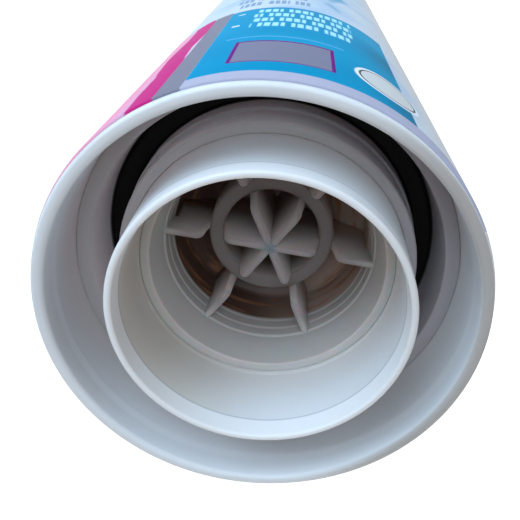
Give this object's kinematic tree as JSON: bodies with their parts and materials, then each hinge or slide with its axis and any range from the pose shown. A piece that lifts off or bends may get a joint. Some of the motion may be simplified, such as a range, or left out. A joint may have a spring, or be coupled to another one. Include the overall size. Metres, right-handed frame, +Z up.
{
  "type": "expansion resin cartridge",
  "caption": "Coaxial two-component resin cartridge: an inner barrel in a labelled outer one, ring and ribbed core pistons at the open rear, a screw cap and plug at the outlet.",
  "frame": {"origin": "centre of the screw cap's flat end, on the surface that the cartridge stands on", "axes": "+Z up the barrels' axis, from the capped outlet to the open rear; the label's front faces -Y"},
  "size_m": [0.0626, 0.0626, 0.233],
  "materials": {
    "barrel": "smooth moulded polypropylene, bluish white, slightly glossy",
    "label": "printed film with fields of blue, grey and magenta",
    "ring_piston": "moulded polyethylene, dark where the black resin shows through",
    "core_piston": "translucent natural polyethylene, brown where the resin shows through",
    "base_resin": "black paste",
    "hardener": "dark brown paste",
    "closure": "moulded polypropylene, satin"
  },
  "bodies": {
    "barrel": {"outer_barrel": "barrel", "inner_barrel": "barrel", "label": "label", "base_component": "base_resin", "hardener_component": "hardener"},
    "annular_piston": {"annular_piston": "ring_piston"},
    "core_piston": {"core_piston": "core_piston"},
    "plug": {"sealing_plug": "closure"},
    "cap": {"screw_cap": "closure"}
  },
  "joints": [
    {"name": "annular_piston_slide", "type": "slide", "parent": "barrel", "child": "annular_piston", "axis": [0, 0, -1], "range_m": [0, 0.152], "deforming": ["base_component"]},
    {"name": "core_piston_slide", "type": "slide", "parent": "barrel", "child": "core_piston", "axis": [0, 0, -1], "range_m": [0, 0.152], "deforming": ["hardener_component"]},
    {"name": "plug_draw", "type": "slide", "parent": "barrel", "child": "plug", "axis": [0, 0, -1], "range_m": [0, 0.0076]},
    {"name": "cap_turn", "type": "hinge", "parent": "plug", "child": "cap", "pos_m": [0, 0, 0.002], "axis": [0, 0, -1], "range_deg": [0, 900]}
  ],
  "couplings": [
    {"joint": "plug_draw", "follows": "cap_turn", "m_per_rad": 0.00047746}
  ]
}
